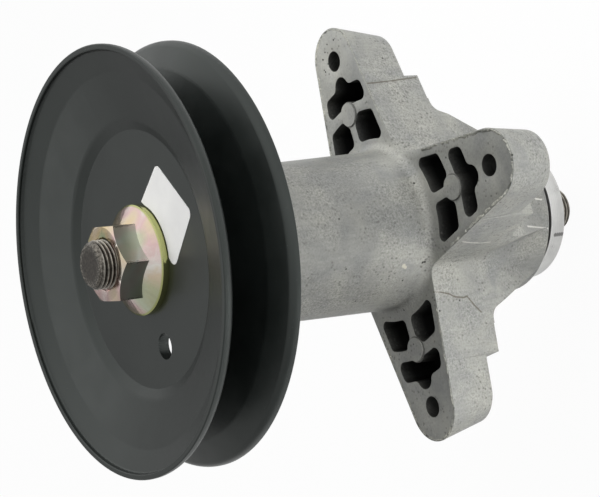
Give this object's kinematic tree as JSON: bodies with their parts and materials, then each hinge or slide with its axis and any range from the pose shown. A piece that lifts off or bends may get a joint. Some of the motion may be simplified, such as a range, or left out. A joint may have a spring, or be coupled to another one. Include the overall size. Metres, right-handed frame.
{
  "type": "mower deck spindle assembly",
  "caption": "Mower deck spindle: a pressed belt pulley on a shaft that turns on sealed ball bearings in a cast aluminium housing with bolt-down arms and a blade seat below.",
  "frame": {"origin": "on the spindle axis, in the deck plane where the undersides of the arm tips sit", "axes": "+Z along the spindle axis towards the pulley, +X along one arm, +Y along the next arm"},
  "size_m": [0.1536, 0.1536, 0.1984],
  "materials": {
    "cast_aluminium": "as cast",
    "turned_steel": "turned",
    "yellow_zinc": "yellow zinc plated steel",
    "black_paint": "semi-gloss",
    "plain_steel": "drawn tube",
    "bearing_steel": "ground",
    "nylon": "moulded",
    "seal_rubber": "matte"
  },
  "bodies": {
    "housing": {"spindle_housing": "cast_aluminium", "upper_bearing_outer_ring": "bearing_steel", "upper_bearing_top_seal": "seal_rubber", "upper_bearing_bottom_seal": "seal_rubber", "lower_bearing_outer_ring": "bearing_steel", "lower_bearing_top_seal": "seal_rubber", "lower_bearing_bottom_seal": "seal_rubber"},
    "rotor": {"spindle_shaft": "turned_steel", "flange_nut": "yellow_zinc", "front_sheave": "black_paint", "rear_sheave": "black_paint", "bearing_spacer": "plain_steel", "pulley_spacer": "plain_steel", "upper_bearing_inner_ring": "bearing_steel", "lower_bearing_inner_ring": "bearing_steel"},
    "upper_ball_set": {"upper_bearing_cage": "nylon", "upper_bearing_balls": "bearing_steel"},
    "lower_ball_set": {"lower_bearing_cage": "nylon", "lower_bearing_balls": "bearing_steel"}
  },
  "joints": [
    {"name": "spindle_spin", "type": "hinge", "parent": "housing", "child": "rotor", "pos_m": [0, 0, 0.0351], "axis": [0, 0, 1], "continuous": true},
    {"name": "upper_balls_orbit", "type": "hinge", "parent": "housing", "child": "upper_ball_set", "pos_m": [0, 0, 0.0891], "axis": [0, 0, 1], "continuous": true},
    {"name": "lower_balls_orbit", "type": "hinge", "parent": "housing", "child": "lower_ball_set", "pos_m": [0, 0, -0.0258], "axis": [0, 0, 1], "continuous": true}
  ],
  "couplings": [
    {"joint": "upper_balls_orbit", "follows": "spindle_spin", "ratio": 0.3869},
    {"joint": "lower_balls_orbit", "follows": "spindle_spin", "ratio": 0.3869}
  ]
}
